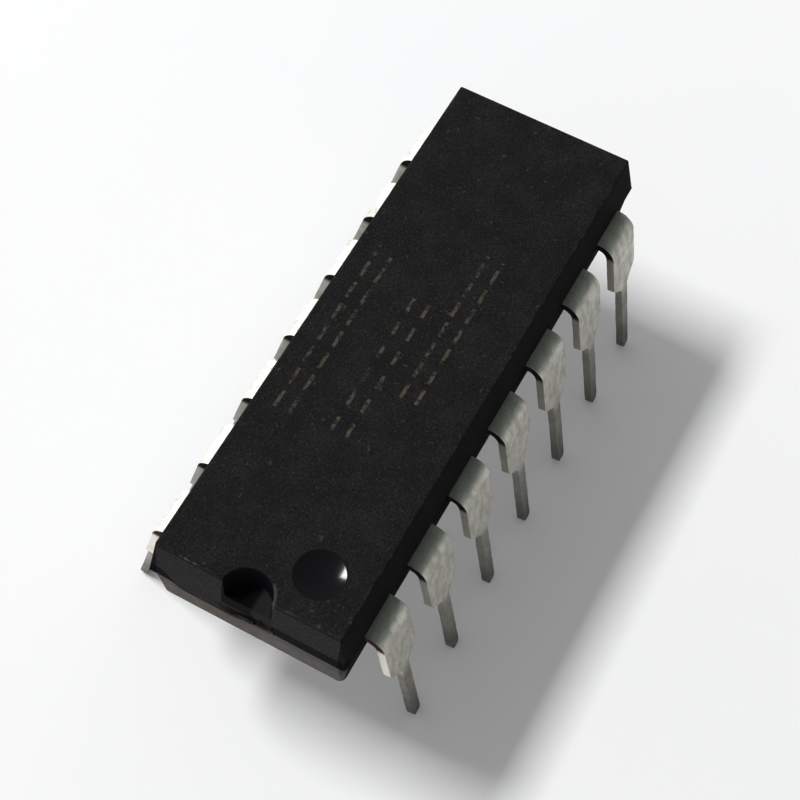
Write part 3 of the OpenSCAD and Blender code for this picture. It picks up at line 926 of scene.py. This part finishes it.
def sealed_metal(name, base, rubbed, metallic, roughness, grain):
    """Finish of a metal part inside the body, with fine lines and a little tarnish."""
    material, tree, surface = new_tree(name)
    place_mm = millimetres(tree)
    lines = use(tree, STREAKS, Position=place_mm, Stretch=(grain,) * 3, Low=0.35, High=0.65)
    dull = patches(tree, place_mm, 2.5, 0.45, 0.7)
    tarnished = tuple(c * 0.5 for c in base[:3]) + (1,)
    colour = layers(tree, base, (lines["Mask"], rubbed), (calc(tree, "MULTIPLY", dull, 0.3), tarnished))
    feed(tree, surface.inputs["Base Color"], colour)
    surface.inputs["Metallic"].default_value = metallic
    feed(tree, surface.inputs["Roughness"], ramp(tree, dull, 0.0, 1.0, roughness, roughness + 0.15))
    bump(tree, surface, lines["Height"], 0.006)
    return material


def silicon():
    """Silicon chip: dark blue-grey, with a fine grid of cells on its face."""
    material, tree, surface = new_tree("silicon")
    place_mm = millimetres(tree)
    cells = tree.nodes.new("ShaderNodeTexBrick")
    settings = {"Vector": place_mm, "Scale": 6.0, "Mortar Size": 0.03, "Color1": (0.10, 0.12, 0.17, 1),
                "Color2": (0.14, 0.13, 0.19, 1), "Mortar": (0.32, 0.30, 0.24, 1)}
    for name, value in settings.items():
        feed(tree, cells.inputs[name], value)
    haze = patches(tree, place_mm, 3.0, 0.4, 0.7)
    colour = blend(tree, calc(tree, "MULTIPLY", haze, 0.3), cells.outputs["Color"], (0.20, 0.16, 0.22, 1))
    feed(tree, surface.inputs["Base Color"], colour)
    surface.inputs["Metallic"].default_value = 0.6
    feed(tree, surface.inputs["Roughness"], ramp(tree, haze, 0.0, 1.0, 0.18, 0.30))
    return material


def paper_white():
    """Plain matte white sheet under the part."""
    material, tree, surface = new_tree("paper_white")
    fibre = patches(tree, millimetres(tree), 0.05, 0.3, 0.7)
    colour = blend(tree, fibre, (0.895, 0.900, 0.905, 1), (0.905, 0.905, 0.908, 1))
    feed(tree, surface.inputs["Base Color"], colour)
    surface.inputs["Roughness"].default_value = 0.9
    surface.inputs["Specular IOR Level"].default_value = 0.1
    return material


# ---- the object


def coat(piece, material):
    piece.data.materials.clear()
    piece.data.materials.append(material)


wire_names = [f"bond_wire_{pin:02d}" for pin in range(1, PINS + 1)]
sealed_names = ["die_pad", "die_attach", "die"] + wire_names
leads = [bent_lead(pin) for pin in range(1, PINS + 1)]
body = moulded_body(leads + [cad[name] for name in sealed_names])

tin = tin_plate()
for pin, lead in enumerate(leads, 1):
    coat(lead, tin)
    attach(lead, "root")
    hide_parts(f"lead_{pin:02d}")
coat(body, black_epoxy())
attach(body, "root")
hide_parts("body")

coat(cad["die_pad"], copper_alloy())
coat(cad["die"], silicon())
paste = sealed_metal("silver_paste", (0.50, 0.50, 0.48, 1), (0.66, 0.66, 0.64, 1), 0.7, 0.55, 5.0)
coat(cad["die_attach"], paste)
gold = sealed_metal("gold_wire", (0.86, 0.62, 0.24, 1), (0.95, 0.76, 0.38, 1), 1.0, 0.18, 20.0)
for name in wire_names:
    coat(cad[name], gold)


# ---- floor, light and camera

# the lamp: where it is seen from the part, how far away, its size in metres and its power
LAMP_TOWARD = (-0.006, 0.587, 0.809)
LAMP_DISTANCE = 0.55
LAMP_SIZE = (0.20, 0.075)
LAMP_POWER = 2.52

# the camera: its right, up and back directions, its place in millimetres from the body, and its lens
VIEW_RIGHT = Vector((0.478049, -0.878037, 0.022788))
VIEW_UP = Vector((0.765221, 0.429082, 0.479923))
VIEW_BACK = Vector((-0.431168, -0.211989, 0.877015))
VIEW_PLACE = Vector((-25.3532, -12.3466 - MIDDLE_Y, 49.3345 + PARTING_Z))
VIEW_LENS = 83.27


def stand(name, data, place_at, right, up, back):
    """Puts a lamp or camera at a place, looking against its back direction."""
    holder = bpy.data.objects.new(name, data)
    bpy.context.scene.collection.objects.link(holder)
    holder.matrix_world = Matrix.Translation(place_at) @ Matrix((right, up, back)).transposed().to_4x4()
    return holder


def floor_sheet():
    bm = bmesh.new()
    bmesh.ops.create_grid(bm, x_segments=1, y_segments=1, size=1500)
    sheet = to_object(bm, "floor_sheet")
    coat(sheet, paper_white())


def room_light():
    """Room light that is bright low down and dark overhead, dimmer towards -Y and brighter towards +X and +Y."""
    world = bpy.data.worlds.new("studio")
    bpy.context.scene.world = world
    world.use_nodes = True
    tree = world.node_tree
    tree.nodes.clear()
    where = tree.nodes.new("ShaderNodeTexCoord")
    x, y, z = parts(tree, where.outputs["Generated"])
    level = ramp(tree, z, 0.22, 0.50, 2.10, 0.15)
    facing = ramp(tree, y, -0.15, -0.80, 1.0, 0.60)
    far_side = calc(tree, "ADD", calc(tree, "MULTIPLY", x, 0.7), calc(tree, "MULTIPLY", y, 0.7))
    side = ramp(tree, far_side, 0.1, 0.9, 1.0, 1.35)
    back = tree.nodes.new("ShaderNodeBackground")
    back.inputs["Color"].default_value = (0.985, 0.99, 1.0, 1)
    feed(tree, back.inputs["Strength"], all_of(tree, level, facing, side))
    out = tree.nodes.new("ShaderNodeOutputWorld")
    tree.links.new(back.outputs["Background"], out.inputs["Surface"])


def window_softbox():
    """One window-like lamp on the far side of the part."""
    lamp = bpy.data.lights.new("window_softbox", "AREA")
    lamp.shape = "RECTANGLE"
    lamp.size, lamp.size_y = LAMP_SIZE
    lamp.energy = LAMP_POWER
    toward = Vector(LAMP_TOWARD).normalized()
    stand("window_softbox", lamp, toward * LAMP_DISTANCE, ALONG_X, toward.cross(ALONG_X).normalized(), toward)


def photo_camera():
    """Camera at the photograph's viewing angle."""
    lens = bpy.data.cameras.new("photo_camera")
    lens.sensor_width = 36.0
    lens.lens = VIEW_LENS
    lens.clip_start = 0.005
    lens.clip_end = 10.0
    bpy.context.scene.camera = stand("photo_camera", lens, VIEW_PLACE * MM, VIEW_RIGHT, VIEW_UP, VIEW_BACK)


floor_sheet()
room_light()
window_softbox()
photo_camera()
bpy.context.scene.view_settings.view_transform = "Standard"
